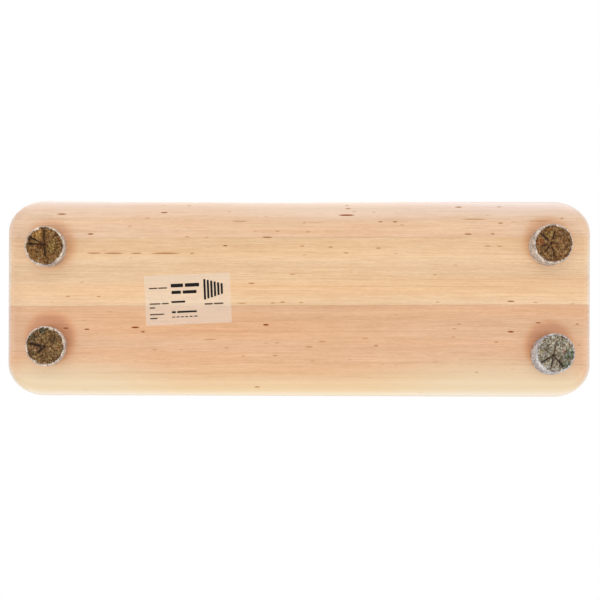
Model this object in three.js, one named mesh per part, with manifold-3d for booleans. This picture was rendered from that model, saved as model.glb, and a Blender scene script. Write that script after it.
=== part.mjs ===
// A log drum with six tongues, in millimetres, +Z up.
// It stands on its four felt feet. The origin is on the floor under its middle,
// X runs along the drum, Y across it, and -Y is its front.

import * as THREE from "three";
import { mergeVertices } from "three/addons/utils/BufferGeometryUtils.js";
import Module from "manifold-3d";

// Box
const BOX_LENGTH = 600;
const BOX_WIDTH = 204;
const BASE_THICKNESS = 18;
const WALL_HEIGHT = 99;
const WALL_THICKNESS = 18;
const TOP_THICKNESS = 18;
const CORNER_RADIUS = 34; // upright corners, seen from above
const SIDE_ROUNDING = 24; // along the long edges
const END_ROUNDING = 9; // along the short edges
const FINGER_COUNT = 9; // fingers of both walls in one upright corner

// Base, glued from three staves whose seams run a little askew
const FRONT_STAVE_WIDTH = 39.5;
const MIDDLE_STAVE_WIDTH = 69.5;
const SEAM_SKEW = -3.6; // how far a seam strays across the drum from its left end to its right
const GLUE_LINE = 0.1;

// Tongues
const FIELD_LENGTH = 352; // from the roots on the left to the roots on the right
const FIELD_WALL_MARGIN = 6; // wood between an outer slit and the wall under it
const SLIT_WIDTH = 3.5;
const SLIT_END_RADIUS = 4; // hole drilled at each end of a long slit
const SLIT_EASING = 1; // broken edge along each slit
const HOLLOW_LENGTH = 34; // tuning hollow planed under each root
const HOLLOW_SLOPE = 8;
const HOLLOW_ROOT_GAP = 8;
const DEEPEST_HOLLOW = 5;

// Felt feet
const FOOT_RADIUS = 20;
const FOOT_HEIGHT = 15;
const FOOT_EASING = 1.6; // rounded lower rim
const DIMPLE_RADIUS = 9; // where the screw draws the felt in
const DIMPLE_DEPTH = 2.4;
const FELT_MOUTH_RADIUS = 2.3;
const FELT_MOUTH_LENGTH = 2;

// From the box's end, and from its long side, to each foot's middle. They were
// set by eye, so no two are alike.
const FRONT_LEFT_END_INSET = 41.5;
const FRONT_LEFT_SIDE_INSET = 50.5;
const FRONT_RIGHT_END_INSET = 45;
const FRONT_RIGHT_SIDE_INSET = 47.5;
const REAR_LEFT_END_INSET = 42;
const REAR_LEFT_SIDE_INSET = 52.5;
const REAR_RIGHT_END_INSET = 42.5;
const REAR_RIGHT_SIDE_INSET = 45;
const FRONT_SCREW_MISS = 2.5; // how far in front of its foot's middle each front screw went in

// Foot screws
const SCREW_RADIUS = 1.75;
const SCREW_CORE_RADIUS = 1.3;
const SCREW_LENGTH = 24;
const SCREW_TIP_LENGTH = 3;
const SCREW_THREAD_PITCH = 2.2;
const SCREW_THREAD_LENGTH = 14;
const SCREW_HEAD_RADIUS = 3.5;
const SCREW_HEAD_RIM = 0.4;
const SCREW_HEAD_LENGTH = 3;
const SCREW_DEPTH = 7; // from the foot's face to the head
const SCREW_CLEARANCE = 0.15;
const RECESS_SPAN = 4;
const RECESS_WIDTH = 0.9;
const RECESS_DEPTH = 1.6;

// Label, a bare sticker on the base
const LABEL_LENGTH = 88;
const LABEL_WIDTH = 51;
const LABEL_THICKNESS = 0.2;
const LABEL_CORNER_RADIUS = 1;
const LABEL_LEFT_INSET = 186; // from the left end of the box to the label's middle
const LABEL_REAR_SHIFT = 1; // of its middle, from the middle of the base
const LABEL_TURN = -2.7; // degrees
const LABEL_GLUE = 0.05;

// How finely round shapes are faceted
const CORNER_STEPS = 12;
const ROUNDING_STEPS = 8;
const HOLE_SEGMENTS = 16;
const FOOT_SEGMENTS = 36;
const RIM_STEPS = 3;
const SCREW_SEGMENTS = 14;
const LABEL_CORNER_STEPS = 3;

const OVERRUN = 5; // how far a cutter runs past what it cuts

// Heights of the joints between the layers
const BASE_BOTTOM = FOOT_HEIGHT;
const WALL_BOTTOM = BASE_BOTTOM + BASE_THICKNESS;
const WALL_TOP = WALL_BOTTOM + WALL_HEIGHT;
const BOX_TOP = WALL_TOP + TOP_THICKNESS;
const HALF_LENGTH = BOX_LENGTH / 2;
const HALF_WIDTH = BOX_WIDTH / 2;
const INNER_HALF_LENGTH = HALF_LENGTH - WALL_THICKNESS;
const INNER_HALF_WIDTH = HALF_WIDTH - WALL_THICKNESS;

const wasm = await Module();
wasm.setup();

// A closed three.js geometry as a solid that can be cut and joined.
function solidOf(geometry) {
  const bare = new THREE.BufferGeometry();
  bare.setAttribute("position", geometry.getAttribute("position"));
  if (geometry.index) bare.setIndex(geometry.index);
  const merged = mergeVertices(bare);
  return new wasm.Manifold(
    new wasm.Mesh({
      numProp: 3,
      vertProperties: merged.attributes.position.array,
      triVerts: new Uint32Array(merged.index.array),
    }),
  );
}

function meshOf(name, solid, material) {
  const cut = solid.getMesh();
  const positions = new Float32Array(cut.numVert * 3);
  for (let i = 0; i < cut.numVert; i++) {
    const start = i * cut.numProp;
    positions.set(cut.vertProperties.subarray(start, start + 3), i * 3);
  }
  const geometry = new THREE.BufferGeometry();
  geometry.setAttribute("position", new THREE.BufferAttribute(positions, 3));
  geometry.setIndex(new THREE.BufferAttribute(cut.triVerts, 1));
  const facets = geometry.toNonIndexed();
  facets.computeVertexNormals();
  const mesh = new THREE.Mesh(facets, material);
  mesh.name = name;
  return mesh;
}

// A box between two corners, each given as [x, y, z].
function boxBetween(low, high) {
  const size = high.map((value, axis) => value - low[axis]);
  const geometry = new THREE.BoxGeometry(...size);
  geometry.translate(...high.map((value, axis) => (value + low[axis]) / 2));
  return solidOf(geometry);
}

// An outline of [x, y] points pushed up from one height to another.
function prismBetween(outline, low, high) {
  const shape = new THREE.Shape(outline.map(([x, y]) => new THREE.Vector2(x, y)));
  const depth = high - low;
  const geometry = new THREE.ExtrudeGeometry(shape, { depth, bevelEnabled: false });
  geometry.translate(0, 0, low);
  return solidOf(geometry);
}

// A profile of [radius, height] points, spun about +Z. It starts and ends on
// the axis, or else it is closed on itself here.
function spun(profile, segments) {
  const onAxis = profile[0][0] === 0;
  const closed = onAxis ? profile : [...profile, profile[0]];
  const points = closed.map(([radius, height]) => new THREE.Vector2(radius, height));
  const geometry = new THREE.LatheGeometry(points, segments);
  geometry.rotateX(Math.PI / 2);
  return solidOf(geometry);
}

// The box's outline from above, anticlockwise: each point has its outward
// direction and the radius to which the edge is rounded there.
function planOutline() {
  const centreX = HALF_LENGTH - CORNER_RADIUS;
  const centreY = HALF_WIDTH - CORNER_RADIUS;
  const corners = [
    [centreX, centreY],
    [-centreX, centreY],
    [-centreX, -centreY],
    [centreX, -centreY],
  ];
  return corners.flatMap(([x, y], quarter) =>
    Array.from({ length: CORNER_STEPS + 1 }, (_, step) => {
      const angle = (quarter + step / CORNER_STEPS) * (Math.PI / 2);
      const out = [Math.cos(angle), Math.sin(angle)];
      const rounding = THREE.MathUtils.lerp(END_ROUNDING, SIDE_ROUNDING, out[1] ** 2);
      return { corner: [x, y], out, rounding };
    }),
  );
}

// The whole box as one rounded block: rings of points from its lower face,
// round the lower edge, up the walls and round the upper edge.
function roundedBlock() {
  const outline = planOutline();
  const positions = [];
  const addRing = (turn, heightOf) => {
    for (const { corner, out, rounding } of outline) {
      const reach = CORNER_RADIUS - rounding * (1 - Math.sin(turn));
      const rise = rounding * (1 - Math.cos(turn));
      positions.push(corner[0] + reach * out[0], corner[1] + reach * out[1], heightOf(rise));
    }
  };
  const turns = Array.from(
    { length: ROUNDING_STEPS + 1 },
    (_, step) => (step / ROUNDING_STEPS) * (Math.PI / 2),
  );
  turns.forEach((turn) => addRing(turn, (rise) => BASE_BOTTOM + rise));
  turns.reverse().forEach((turn) => addRing(turn, (rise) => BOX_TOP - rise));

  const count = outline.length;
  const ringCount = 2 * turns.length;
  const lowerMiddle = count * ringCount;
  const upperMiddle = lowerMiddle + 1;
  positions.push(0, 0, BASE_BOTTOM, 0, 0, BOX_TOP);
  const triangles = [];
  for (let point = 0; point < count; point++) {
    const next = (point + 1) % count;
    for (let ring = 0; ring + 1 < ringCount; ring++) {
      const here = ring * count;
      const above = here + count;
      triangles.push(here + point, here + next, above + next);
      triangles.push(here + point, above + next, above + point);
    }
    const topRing = count * (ringCount - 1);
    triangles.push(lowerMiddle, next, point);
    triangles.push(upperMiddle, topRing + point, topRing + next);
  }
  const geometry = new THREE.BufferGeometry();
  geometry.setAttribute("position", new THREE.Float32BufferAttribute(positions, 3));
  geometry.setIndex(triangles);
  return solidOf(geometry);
}

const block = roundedBlock();

function layer(low, high) {
  const outer = [HALF_LENGTH + OVERRUN, HALF_WIDTH + OVERRUN];
  return block.intersect(boxBetween([-outer[0], -outer[1], low], [outer[0], outer[1], high]));
}

const feet = [
  {
    name: "front_left",
    x: -HALF_LENGTH + FRONT_LEFT_END_INSET,
    y: -HALF_WIDTH + FRONT_LEFT_SIDE_INSET,
    screwY: -FRONT_SCREW_MISS,
  },
  {
    name: "front_right",
    x: HALF_LENGTH - FRONT_RIGHT_END_INSET,
    y: -HALF_WIDTH + FRONT_RIGHT_SIDE_INSET,
    screwY: -FRONT_SCREW_MISS,
  },
  {
    name: "rear_left",
    x: -HALF_LENGTH + REAR_LEFT_END_INSET,
    y: HALF_WIDTH - REAR_LEFT_SIDE_INSET,
    screwY: 0,
  },
  {
    name: "rear_right",
    x: HALF_LENGTH - REAR_RIGHT_END_INSET,
    y: HALF_WIDTH - REAR_RIGHT_SIDE_INSET,
    screwY: 0,
  },
];

// Where a seam between two staves lies, at a place along the drum.
function seamAt(middleY, x) {
  return middleY + (SEAM_SKEW * x) / BOX_LENGTH;
}

// A stave of the base, between two seams, with pilot holes for the foot screws.
function baseStave(base, lowSeam, highSeam) {
  const end = HALF_LENGTH + OVERRUN;
  const outline = [
    [-end, seamAt(lowSeam + GLUE_LINE / 2, -end)],
    [end, seamAt(lowSeam + GLUE_LINE / 2, end)],
    [end, seamAt(highSeam - GLUE_LINE / 2, end)],
    [-end, seamAt(highSeam - GLUE_LINE / 2, -end)],
  ];
  let stave = base.intersect(prismBetween(outline, BASE_BOTTOM - OVERRUN, WALL_BOTTOM + OVERRUN));
  for (const foot of feet) {
    const inside = foot.y > seamAt(lowSeam, foot.x) && foot.y < seamAt(highSeam, foot.x);
    if (inside) stave = stave.subtract(pilotHole().translate(foot.x, foot.y + foot.screwY, 0));
  }
  return stave;
}

function pilotHole() {
  const radius = SCREW_RADIUS + SCREW_CLEARANCE;
  const tip = SCREW_DEPTH + SCREW_LENGTH + SCREW_CLEARANCE;
  const shoulder = tip - SCREW_TIP_LENGTH;
  const profile = [
    [0, BASE_BOTTOM - OVERRUN],
    [radius, BASE_BOTTOM - OVERRUN],
    [radius, shoulder],
    [0, tip],
  ];
  return spun(profile, SCREW_SEGMENTS);
}

// The fingers of one kind of wall, cleared out of the other kind. Even fingers,
// counted from the base, belong to the long walls.
function fingerNotches(remainder) {
  const fingerHeight = WALL_HEIGHT / FINGER_COUNT;
  const notches = [];
  for (let finger = remainder; finger < FINGER_COUNT; finger += 2) {
    const low = WALL_BOTTOM + finger * fingerHeight;
    const high = finger + 1 === FINGER_COUNT ? WALL_TOP + OVERRUN : low + fingerHeight;
    for (const end of [-1, 1]) {
      for (const side of [-1, 1]) {
        const x = [end * INNER_HALF_LENGTH, end * (HALF_LENGTH + OVERRUN)].sort((a, b) => a - b);
        const y = [side * INNER_HALF_WIDTH, side * (HALF_WIDTH + OVERRUN)].sort((a, b) => a - b);
        const from = finger === 0 ? WALL_BOTTOM - OVERRUN : low;
        notches.push(boxBetween([x[0], y[0], from], [x[1], y[1], high]));
      }
    }
  }
  return notches;
}

function longWall(walls, side) {
  const y = [side * INNER_HALF_WIDTH, side * (HALF_WIDTH + OVERRUN)].sort((a, b) => a - b);
  const end = HALF_LENGTH + OVERRUN;
  const board = boxBetween([-end, y[0], WALL_BOTTOM - OVERRUN], [end, y[1], WALL_TOP + OVERRUN]);
  return fingerNotches(1).reduce((wall, notch) => wall.subtract(notch), walls.intersect(board));
}

function endWall(walls, end) {
  const x = [end * INNER_HALF_LENGTH, end * (HALF_LENGTH + OVERRUN)].sort((a, b) => a - b);
  const side = HALF_WIDTH + OVERRUN;
  const board = boxBetween([x[0], -side, WALL_BOTTOM - OVERRUN], [x[1], side, WALL_TOP + OVERRUN]);
  return fingerNotches(0).reduce((wall, notch) => wall.subtract(notch), walls.intersect(board));
}

// Three lanes of two tongues each, from the front. Each tongue is given by how
// many semitones it sounds above the lowest: low notes have long tongues.
const lanes = [
  { left: 0, right: 12 },
  { left: 9, right: 2 },
  { left: 5, right: 7 },
];

const FIELD_HALF_WIDTH = INNER_HALF_WIDTH - FIELD_WALL_MARGIN - SLIT_WIDTH / 2;
const LANE_PITCH = (2 * FIELD_HALF_WIDTH) / lanes.length;
const FIELD_HALF_LENGTH = FIELD_LENGTH / 2;

// A bar's pitch falls with the square of its length.
function lengthShare(semitones) {
  return 2 ** (-semitones / 24);
}

function crossSlitX(lane) {
  const left = lengthShare(lane.left);
  const right = lengthShare(lane.right);
  return -FIELD_HALF_LENGTH + (FIELD_LENGTH * left) / (left + right);
}

// A slit's cross-section, with its upper edges broken.
function slitProfile(halfWidth) {
  const top = BOX_TOP + OVERRUN;
  const flare = halfWidth + SLIT_EASING + OVERRUN;
  return [
    [-halfWidth, WALL_TOP - OVERRUN],
    [halfWidth, WALL_TOP - OVERRUN],
    [halfWidth, BOX_TOP - SLIT_EASING],
    [flare, top],
    [-flare, top],
    [-halfWidth, BOX_TOP - SLIT_EASING],
  ];
}

// A straight slit from one [x, y] point to another.
function slit(from, to) {
  const length = Math.hypot(to[0] - from[0], to[1] - from[1]);
  const solid = prismBetween(slitProfile(SLIT_WIDTH / 2), 0, length);
  const turn = THREE.MathUtils.radToDeg(Math.atan2(to[1] - from[1], to[0] - from[0]));
  return solid
    .rotate([90, 0, 0])
    .rotate([0, 0, 90 + turn])
    .translate(from[0], from[1], 0);
}

function slitEndHole() {
  const profile = slitProfile(SLIT_END_RADIUS).slice(1, -2);
  const [lowest, , highest] = profile;
  return spun([[0, lowest[1]], ...profile, [0, highest[1]]], HOLE_SEGMENTS);
}

// A hollow under a tongue's root, which lowers its pitch. Its end of the field is -1 or 1.
function tuningHollow(lane, laneIndex, end) {
  const semitones = end < 0 ? lane.left : lane.right;
  const depth = DEEPEST_HOLLOW * lengthShare(semitones);
  const half = HOLLOW_LENGTH / 2;
  const flat = half - HOLLOW_SLOPE;
  const outline = [
    [-half, -OVERRUN],
    [half, -OVERRUN],
    [half, 0],
    [flat, depth],
    [-flat, depth],
    [-half, 0],
  ];
  const width = LANE_PITCH - SLIT_WIDTH;
  const x = end * (FIELD_HALF_LENGTH - HOLLOW_ROOT_GAP - half);
  const y = -FIELD_HALF_WIDTH + (laneIndex + 0.5) * LANE_PITCH;
  return prismBetween(outline, 0, width)
    .rotate([90, 0, 0])
    .translate(x, y + width / 2, WALL_TOP);
}

function tonguePlate() {
  let plate = layer(WALL_TOP, BOX_TOP);
  for (let line = 0; line <= lanes.length; line++) {
    const y = -FIELD_HALF_WIDTH + line * LANE_PITCH;
    plate = plate.subtract(slit([-FIELD_HALF_LENGTH, y], [FIELD_HALF_LENGTH, y]));
    for (const end of [-1, 1]) {
      plate = plate.subtract(slitEndHole().translate(end * FIELD_HALF_LENGTH, y, 0));
    }
  }
  lanes.forEach((lane, index) => {
    const x = crossSlitX(lane);
    const y = -FIELD_HALF_WIDTH + index * LANE_PITCH;
    plate = plate.subtract(slit([x, y], [x, y + LANE_PITCH]));
    for (const end of [-1, 1]) plate = plate.subtract(tuningHollow(lane, index, end));
  });
  return plate;
}

// A plain felt disc, its lower rim rounded.
function feltDisc() {
  const rim = Array.from({ length: RIM_STEPS + 1 }, (_, step) => {
    const turn = (step / RIM_STEPS) * (Math.PI / 2);
    return [
      FOOT_RADIUS - FOOT_EASING * (1 - Math.sin(turn)),
      FOOT_EASING * (1 - Math.cos(turn)),
    ];
  });
  return spun([[0, 0], ...rim, [FOOT_RADIUS, FOOT_HEIGHT], [0, FOOT_HEIGHT]], FOOT_SEGMENTS);
}

// What a foot screw takes out of its disc: the dimple that it draws into the
// face, a mouth where the felt closed again behind the driver, the seat of the
// head and the way of the shank.
function screwHollow() {
  const headRadius = SCREW_HEAD_RADIUS + SCREW_CLEARANCE;
  const boreRadius = SCREW_RADIUS + SCREW_CLEARANCE;
  const headTop = SCREW_DEPTH - SCREW_CLEARANCE;
  const headRim = SCREW_DEPTH + SCREW_HEAD_RIM + SCREW_CLEARANCE;
  const seatTop = SCREW_DEPTH + SCREW_HEAD_LENGTH + SCREW_CLEARANCE;
  const profile = [
    [0, -OVERRUN],
    [DIMPLE_RADIUS, -OVERRUN],
    [DIMPLE_RADIUS, 0],
    [FELT_MOUTH_RADIUS, DIMPLE_DEPTH],
    [FELT_MOUTH_RADIUS, DIMPLE_DEPTH + FELT_MOUTH_LENGTH],
    [headRadius, headTop],
    [headRadius, headRim],
    [boreRadius, seatTop],
    [boreRadius, FOOT_HEIGHT + OVERRUN],
    [0, FOOT_HEIGHT + OVERRUN],
  ];
  return spun(profile, FOOT_SEGMENTS);
}

// A countersunk wood screw, head down, with its thread as plain ridges.
function footScrew() {
  const head = SCREW_DEPTH;
  const tip = head + SCREW_LENGTH;
  const shoulder = tip - SCREW_TIP_LENGTH;
  const ridgeCount = Math.floor(SCREW_THREAD_LENGTH / SCREW_THREAD_PITCH);
  const ridges = Array.from({ length: ridgeCount }, (_, ridge) => {
    const low = shoulder - (ridgeCount - ridge) * SCREW_THREAD_PITCH;
    return [
      [SCREW_RADIUS, low],
      [SCREW_CORE_RADIUS, low + SCREW_THREAD_PITCH / 2],
    ];
  }).flat();
  const profile = [
    [0, head],
    [SCREW_HEAD_RADIUS, head],
    [SCREW_HEAD_RADIUS, head + SCREW_HEAD_RIM],
    [SCREW_RADIUS, head + SCREW_HEAD_LENGTH],
    ...ridges,
    [SCREW_RADIUS, shoulder],
    [0, tip],
  ];
  const recess = (spanX, spanY) =>
    boxBetween([-spanX / 2, -spanY / 2, head - OVERRUN], [spanX / 2, spanY / 2, head + RECESS_DEPTH]);
  return spun(profile, SCREW_SEGMENTS)
    .subtract(recess(RECESS_SPAN, RECESS_WIDTH))
    .subtract(recess(RECESS_WIDTH, RECESS_SPAN));
}

function labelSheet() {
  const x = LABEL_LENGTH / 2 - LABEL_CORNER_RADIUS;
  const y = LABEL_WIDTH / 2 - LABEL_CORNER_RADIUS;
  const outline = [
    [x, y],
    [-x, y],
    [-x, -y],
    [x, -y],
  ].flatMap(([cornerX, cornerY], quarter) =>
    Array.from({ length: LABEL_CORNER_STEPS + 1 }, (_, step) => {
      const angle = (quarter + step / LABEL_CORNER_STEPS) * (Math.PI / 2);
      return [
        cornerX + LABEL_CORNER_RADIUS * Math.cos(angle),
        cornerY + LABEL_CORNER_RADIUS * Math.sin(angle),
      ];
    }),
  );
  return prismBetween(outline, 0, LABEL_THICKNESS);
}

function finish(colour, roughness, metalness = 0) {
  return new THREE.MeshStandardMaterial({ color: colour, roughness, metalness });
}

const rosyAlder = finish(0xe3b48b, 0.45);
const paleAlder = finish(0xebc49b, 0.45);
const pinkAlder = finish(0xebc6a4, 0.45);
const wallAlder = finish(0xe8be93, 0.45);
const padauk = finish(0x8a3318, 0.4);
const felt = finish(0x7a6752, 0.95);
const steel = finish(0xb9b6ae, 0.35, 1);
const film = finish(0xf3dfc9, 0.4);

function base() {
  const group = new THREE.Group();
  const slab = layer(BASE_BOTTOM, WALL_BOTTOM);
  const beyond = HALF_WIDTH + OVERRUN;
  const frontSeam = -HALF_WIDTH + FRONT_STAVE_WIDTH;
  const rearSeam = frontSeam + MIDDLE_STAVE_WIDTH;
  group.add(
    meshOf("base_stave_front", baseStave(slab, -beyond, frontSeam), pinkAlder),
    meshOf("base_stave_middle", baseStave(slab, frontSeam, rearSeam), paleAlder),
    meshOf("base_stave_rear", baseStave(slab, rearSeam, beyond), rosyAlder),
  );
  return group;
}

function walls() {
  const group = new THREE.Group();
  const ring = layer(WALL_BOTTOM, WALL_TOP);
  group.add(
    meshOf("long_wall_front", longWall(ring, -1), wallAlder),
    meshOf("long_wall_rear", longWall(ring, 1), wallAlder),
    meshOf("end_wall_left", endWall(ring, -1), wallAlder),
    meshOf("end_wall_right", endWall(ring, 1), wallAlder),
  );
  return group;
}

function footSet() {
  const group = new THREE.Group();
  for (const { name, x, y, screwY } of feet) {
    const set = new THREE.Group();
    set.position.set(x, y, 0);
    const hollow = screwHollow().translate(0, screwY, 0);
    const screw = meshOf(`foot_screw_${name}`, footScrew(), steel);
    screw.position.y = screwY;
    set.add(meshOf(`felt_foot_${name}`, feltDisc().subtract(hollow), felt), screw);
    group.add(set);
  }
  return group;
}

function label() {
  const mesh = meshOf("label", labelSheet(), film);
  const z = BASE_BOTTOM - LABEL_GLUE - LABEL_THICKNESS;
  mesh.position.set(-HALF_LENGTH + LABEL_LEFT_INSET, LABEL_REAR_SHIFT, z);
  mesh.rotation.z = THREE.MathUtils.degToRad(LABEL_TURN);
  return mesh;
}

const drum = new THREE.Group();
drum.add(base(), walls(), meshOf("tongue_plate", tonguePlate(), padauk), footSet(), label());

export default drum;
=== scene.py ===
"""Finishes a log drum with six tongues: lacquered alder, a padauk top, felt feet and a label.

The file is laid out as an add-on and runs as a plain script. Lengths are in metres, in the
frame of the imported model: +X runs along the drum, +Y to its rear and +Z up, and the origin
lies on the floor under its middle. The camera looks up at the base, where the feet are.
"""

import math
import random
from typing import NamedTuple

import bmesh
import bpy
from bpy.props import FloatProperty, FloatVectorProperty, IntProperty, PointerProperty
from mathutils import Matrix, Vector, noise


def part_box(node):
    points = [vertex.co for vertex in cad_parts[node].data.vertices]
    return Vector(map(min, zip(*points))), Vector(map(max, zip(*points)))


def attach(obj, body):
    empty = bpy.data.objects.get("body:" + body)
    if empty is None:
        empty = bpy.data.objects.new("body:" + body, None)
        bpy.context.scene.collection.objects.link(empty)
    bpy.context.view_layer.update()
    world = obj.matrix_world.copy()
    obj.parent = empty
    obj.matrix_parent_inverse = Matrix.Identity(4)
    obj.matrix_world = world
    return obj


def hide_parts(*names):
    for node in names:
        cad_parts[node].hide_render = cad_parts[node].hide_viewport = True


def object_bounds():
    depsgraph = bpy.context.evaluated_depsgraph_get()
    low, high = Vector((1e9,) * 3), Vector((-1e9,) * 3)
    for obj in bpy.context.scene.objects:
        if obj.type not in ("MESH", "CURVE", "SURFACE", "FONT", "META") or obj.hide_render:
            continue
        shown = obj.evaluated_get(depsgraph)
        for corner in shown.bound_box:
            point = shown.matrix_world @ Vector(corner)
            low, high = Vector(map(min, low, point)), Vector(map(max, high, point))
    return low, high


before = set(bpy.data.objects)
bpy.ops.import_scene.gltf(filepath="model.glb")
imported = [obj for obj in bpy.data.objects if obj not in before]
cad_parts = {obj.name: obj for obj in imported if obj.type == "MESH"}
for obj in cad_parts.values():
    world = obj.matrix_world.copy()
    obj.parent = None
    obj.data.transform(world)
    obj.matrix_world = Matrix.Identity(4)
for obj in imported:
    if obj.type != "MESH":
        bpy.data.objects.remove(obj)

bl_info = {
    "name": "Log drum",
    "version": (1, 0, 0),
    "blender": (4, 5, 0),
    "location": "3D View > Sidebar > Log Drum",
    "description": "Finishes, felt feet, label and stage for a log drum with six tongues",
    "category": "Object",
}

MM = 0.001
CAD_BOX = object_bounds()
BASE_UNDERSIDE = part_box("base_stave_middle")[0][2]
FOOT_NAMES = ("front_left", "front_right", "rear_left", "rear_right")


# --- Settings -----------------------------------------------------------------------------


def linear(code):
    """Scene-linear colour of a six-digit sRGB code."""
    levels = [int(code[place : place + 2], 16) / 255 for place in (0, 2, 4)]
    return tuple(v / 12.92 if v <= 0.04045 else ((v + 0.055) / 1.055) ** 2.4 for v in levels)


def colour(name, description, code):
    """A colour property, its default given as an sRGB code."""
    return FloatVectorProperty(
        name=name, description=description, subtype="COLOR", size=3, min=0, max=1,
        default=linear(code),
    )


def length(name, description, default):
    """A length property, in metres."""
    return FloatProperty(
        name=name, description=description, subtype="DISTANCE", unit="LENGTH", precision=5,
        default=default, min=0, max=10,
    )


def slip(foot, right, rear):
    """How far the face of a foot has slipped, given in millimetres."""
    return FloatVectorProperty(
        name=f"Slip, {foot}", description=f"Slip of the {foot} foot's face, right and rear",
        subtype="XYZ", unit="LENGTH", size=2, precision=5, default=(right * MM, rear * MM),
        min=-10 * MM, max=10 * MM,
    )


def share(name, description, default, high=1.0):
    """A property without a unit, from 0 up."""
    return FloatProperty(
        name=name, description=description, subtype="FACTOR", default=default, min=0, max=high
    )


def turn(name, description, degrees):
    """An angle property, its default given in degrees."""
    return FloatProperty(
        name=name, description=description, subtype="ANGLE", unit="ROTATION",
        default=math.radians(degrees), min=-math.pi, max=math.pi,
    )


def power(name, description, default):
    """The power of a lamp."""
    return FloatProperty(name=name, description=description, unit="POWER", default=default, min=0)


class AlderSettings(bpy.types.PropertyGroup):
    """Colours and figure of the alder boards."""

    front_stave: colour("Front stave", "Ground colour of the base's front stave", "E4BC98")
    middle_stave: colour("Middle stave", "Ground colour of the base's middle stave", "E5BB8F")
    rear_stave: colour("Rear stave", "Ground colour of the base's rear stave", "DFAD83")
    walls: colour("Walls", "Ground colour of the four walls", "E2B992")
    # Partly the sapwood's colour, partly a painted highlight on the rear stave's rounded edge.
    sapwood_and_highlight: colour("Sapwood", "Pale wood along the rear stave's outer edge", "EBD2A6")
    # A painted highlight on the front stave's rounded outer edge, where strong light falls.
    front_edge_highlight: colour("Pale edge", "Bleached wood along the front stave's outer edge", "F6E2D5")
    fleck: colour("Flecks", "Colour of the short dark flecks", "873406")
    contrast: share("Contrast", "How strongly the rings and streaks show", 1.0, 3.0)
    coat: share("Coat", "How much gloss the clear lacquer adds", 0.75)
    ring_width: length("Ring width", "Distance between growth rings", 3.6 * MM)
    roughness: share("Roughness", "Roughness of the satin lacquer", 0.42)


class PadaukSettings(bpy.types.PropertyGroup):
    """Colours and figure of the tongue plate."""

    heartwood: colour("Heartwood", "Ground colour of the padauk", "9C4526")
    bright: colour("Bright bands", "Orange bands in the padauk", "BC6030")
    dark: colour("Dark streaks", "Dark streaks in the padauk", "5E2418")
    pore: colour("Pores", "Colour inside the open pores", "2E100B")
    ring_width: length("Ring width", "Distance between dark streaks", 8.5 * MM)
    roughness: share("Roughness", "Roughness of the oiled face", 0.4)


class FeltSettings(bpy.types.PropertyGroup):
    """Shape and colours of the felt feet."""

    slip_front_left: slip("front left", 0.7, -0.8)
    slip_front_right: slip("front right", 2.2, -2.0)
    slip_rear_left: slip("rear left", 1.3, -0.8)
    slip_rear_right: slip("rear right", 1.9, -2.8)
    rim: length("Rim", "Radius to which the rim has worn", 2.0 * MM)
    dimple_radius: length("Dimple radius", "Where the screw starts to draw the face in", 9 * MM)
    dimple_depth: length("Dimple depth", "How deep the screw has drawn the face in", 2.2 * MM)
    mouth_radius: length("Mouth radius", "Radius of the hole over the screw's head", 0.7 * MM)
    crease_depth: length("Crease depth", "How deep the radial creases are", 1.7 * MM)
    unevenness: length("Unevenness", "How far the felt swells and sinks", 0.35 * MM)
    fibres: IntProperty(
        name="Fibres", description="Loose fibres on each foot", default=700, min=0, max=5000
    )
    fibre_length: length("Fibre length", "Length of the longest loose fibres", 2.4 * MM)
    front_left: colour("Front left", "Mean colour of the front left foot's face", "80592C")
    front_right: colour("Front right", "Mean colour of the front right foot's face", "835D39")
    rear_left: colour("Rear left", "Mean colour of the rear left foot's face", "775938")
    rear_right: colour("Rear right", "Mean colour of the rear right foot's face", "978E7E")
    pale_fibres: colour("Pale fibres", "Palest fibres in a brown foot's face", "BC9D6E")
    grey_fibres: colour("Grey fibres", "Palest fibres in the grey foot's face", "E1DFDA")
    side: colour("Side", "Pale felt on the side of a brown foot", "ECDCC9")
    grey_side: colour("Grey side", "Pale felt on the side of the grey foot", "DEDAD7")


class LabelSettings(bpy.types.PropertyGroup):
    """The film and its generic marks."""

    film: colour("Film", "Colour of the film", "F0EBDC")
    cover: share("Cover", "How much of the wood the film hides", 0.28)
    ink: colour("Ink", "Colour of the large marks", "120C0A")
    faint_ink: colour("Faint ink", "Colour of the small marks", "5A463A")
    ink_height: length("Ink height", "How thick the ink lies", 0.015 * MM)
    turned: turn("Turn", "How far the label is turned on the base", -2.7)


class StudioSettings(bpy.types.PropertyGroup):
    """Camera, lamps, floor and surroundings."""

    distance: length("Distance", "From the base to the camera", 1.03)
    lens: FloatProperty(
        name="Lens", description="Focal length, in millimetres", default=60.3, min=10, max=300
    )
    aim_right: length("Aim right", "How far right of the middle the camera aims", 0.8 * MM)
    aim_rear: length("Aim rear", "How far behind the middle the camera aims", 1.4 * MM)
    roll: turn("Roll", "How far the drum is turned in the picture", 0.18)
    daylight: share("Daylight", "Level of the even light from all round", 0.6, 4)
    end_power: power("End lamps", "Power of the tall lamp at each end", 3.2)
    front_power: power("Front lamp", "Power of the tall lamp before the drum", 6.3)
    rear_power: power("Rear lamp", "Power of the tall lamp behind the drum", 5.5)
    low_end_power: power("Low end lamps", "Power of the low lamp at each end", 1.9)
    low_front_power: power("Low front lamp", "Power of the low lamp before the drum", 3.7)
    low_rear_power: power("Low rear lamp", "Power of the low lamp behind the drum", 2.75)
    top_power: power("Top lamp", "Power of the lamp over the tongues", 22.0)
    floor: colour("Floor", "Colour of the floor", "F0EEEA")


class DrumSettings(bpy.types.PropertyGroup):
    """All sizes and colours of the drum."""

    alder: PointerProperty(type=AlderSettings)
    padauk: PointerProperty(type=PadaukSettings)
    felt: PointerProperty(type=FeltSettings)
    label: PointerProperty(type=LabelSettings)
    studio: PointerProperty(type=StudioSettings)


# --- Shared helpers -----------------------------------------------------------------------


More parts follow.
